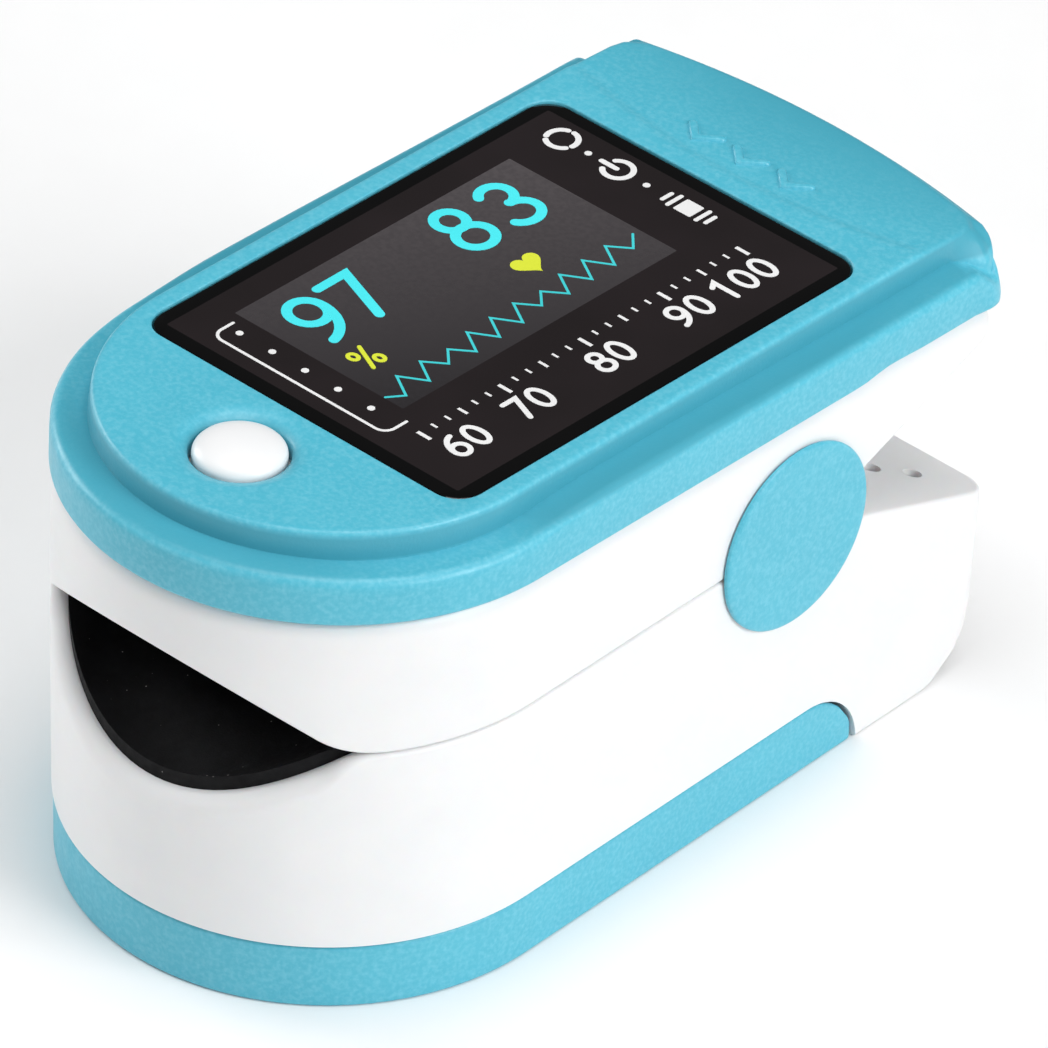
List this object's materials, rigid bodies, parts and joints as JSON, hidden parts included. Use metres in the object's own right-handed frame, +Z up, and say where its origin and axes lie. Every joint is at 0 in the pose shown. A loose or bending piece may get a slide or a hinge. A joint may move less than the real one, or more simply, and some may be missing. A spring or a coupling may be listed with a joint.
{
  "type": "fingertip pulse oximeter",
  "caption": "Clip-on fingertip pulse oximeter: two sprung jaws on a side hinge, colour display under a dark window, power button, cell bay with a sliding door.",
  "frame": {"origin": "middle of the underside: centre of the closed device's bounding box in X and Y, on the resting plane", "axes": "+Z up, finger goes in from -Y, squeeze ends at +Y, +X to the wearer's side with the printed scale beside the display"},
  "size_m": [0.0336, 0.06, 0.0335],
  "materials": {
    "blue_plastic": "fine-textured moulded ABS, satin gloss",
    "white_plastic": "moulded ABS, satin gloss",
    "button_plastic": "smooth moulded cap",
    "black_silicone": "soft matt silicone",
    "window_acrylic": "hard-coated acrylic, back-printed black",
    "display_glass": "display module glass",
    "red_filter": "dark red optical window",
    "cell_sleeve": "printed foil sleeve on a steel can",
    "nickel": "nickel-plated strip",
    "steel": "plated steel",
    "circuit_board": "solder-resist lacquer on glass fibre",
    "chip_black": "moulded epoxy",
    "flex_film": "polyimide film"
  },
  "bodies": {
    "lower_jaw": {"lower_shell": "white_plastic", "battery_tray": "white_plastic", "lower_finger_pad": "black_silicone", "sensor_pcb": "circuit_board", "photodiode": "chip_black", "sensor_window": "red_filter", "battery_left": "cell_sleeve", "battery_right": "cell_sleeve", "contact_bridge": "nickel", "contact_rear_left": "nickel", "contact_rear_right": "nickel", "battery_spring_front": "steel", "battery_spring_rear": "steel", "tray_screw_1": "steel", "tray_screw_2": "steel", "tray_screw_3": "steel", "tray_screw_4": "steel", "hinge_pin_left": "steel", "hinge_pin_right": "steel", "side_cap_left": "blue_plastic", "side_cap_right": "blue_plastic", "torsion_spring_left": "steel", "torsion_spring_right": "steel", "flex_cable": "flex_film"},
    "door": {"battery_door": "blue_plastic"},
    "upper_jaw": {"upper_shell": "white_plastic", "upper_finger_pad": "black_silicone", "led_window": "red_filter", "led_emitter": "chip_black", "main_pcb": "circuit_board", "mcu_chip": "chip_black", "amplifier_chip": "chip_black", "crystal": "nickel", "display_holder": "white_plastic", "display_panel": "display_glass", "tact_switch": "chip_black", "pcb_screw_1": "steel", "pcb_screw_2": "steel", "pcb_screw_3": "steel", "pcb_screw_4": "steel", "top_cover": "blue_plastic", "display_window": "window_acrylic"},
    "button": {"power_button": "button_plastic", "switch_plunger": "chip_black"}
  },
  "joints": [
    {"name": "jaw_hinge", "type": "hinge", "parent": "lower_jaw", "child": "upper_jaw", "pos_m": [0, 0.00912, 0.01882], "axis": [-1, 0, 0], "range_deg": [0, 28], "stiffness_Nm_per_rad": 0.12, "springref_deg": -45.84, "deforming": ["torsion_spring_left", "torsion_spring_right", "flex_cable"]},
    {"name": "button_press", "type": "slide", "parent": "upper_jaw", "child": "button", "axis": [0, -0.0349, -0.9994], "range_m": [0, 0.0004], "stiffness_N_per_m": 3000, "springref_m": -0.0002},
    {"name": "door_slide", "type": "slide", "parent": "lower_jaw", "child": "door", "axis": [0, -1, 0], "range_m": [0, 0.046]}
  ]
}
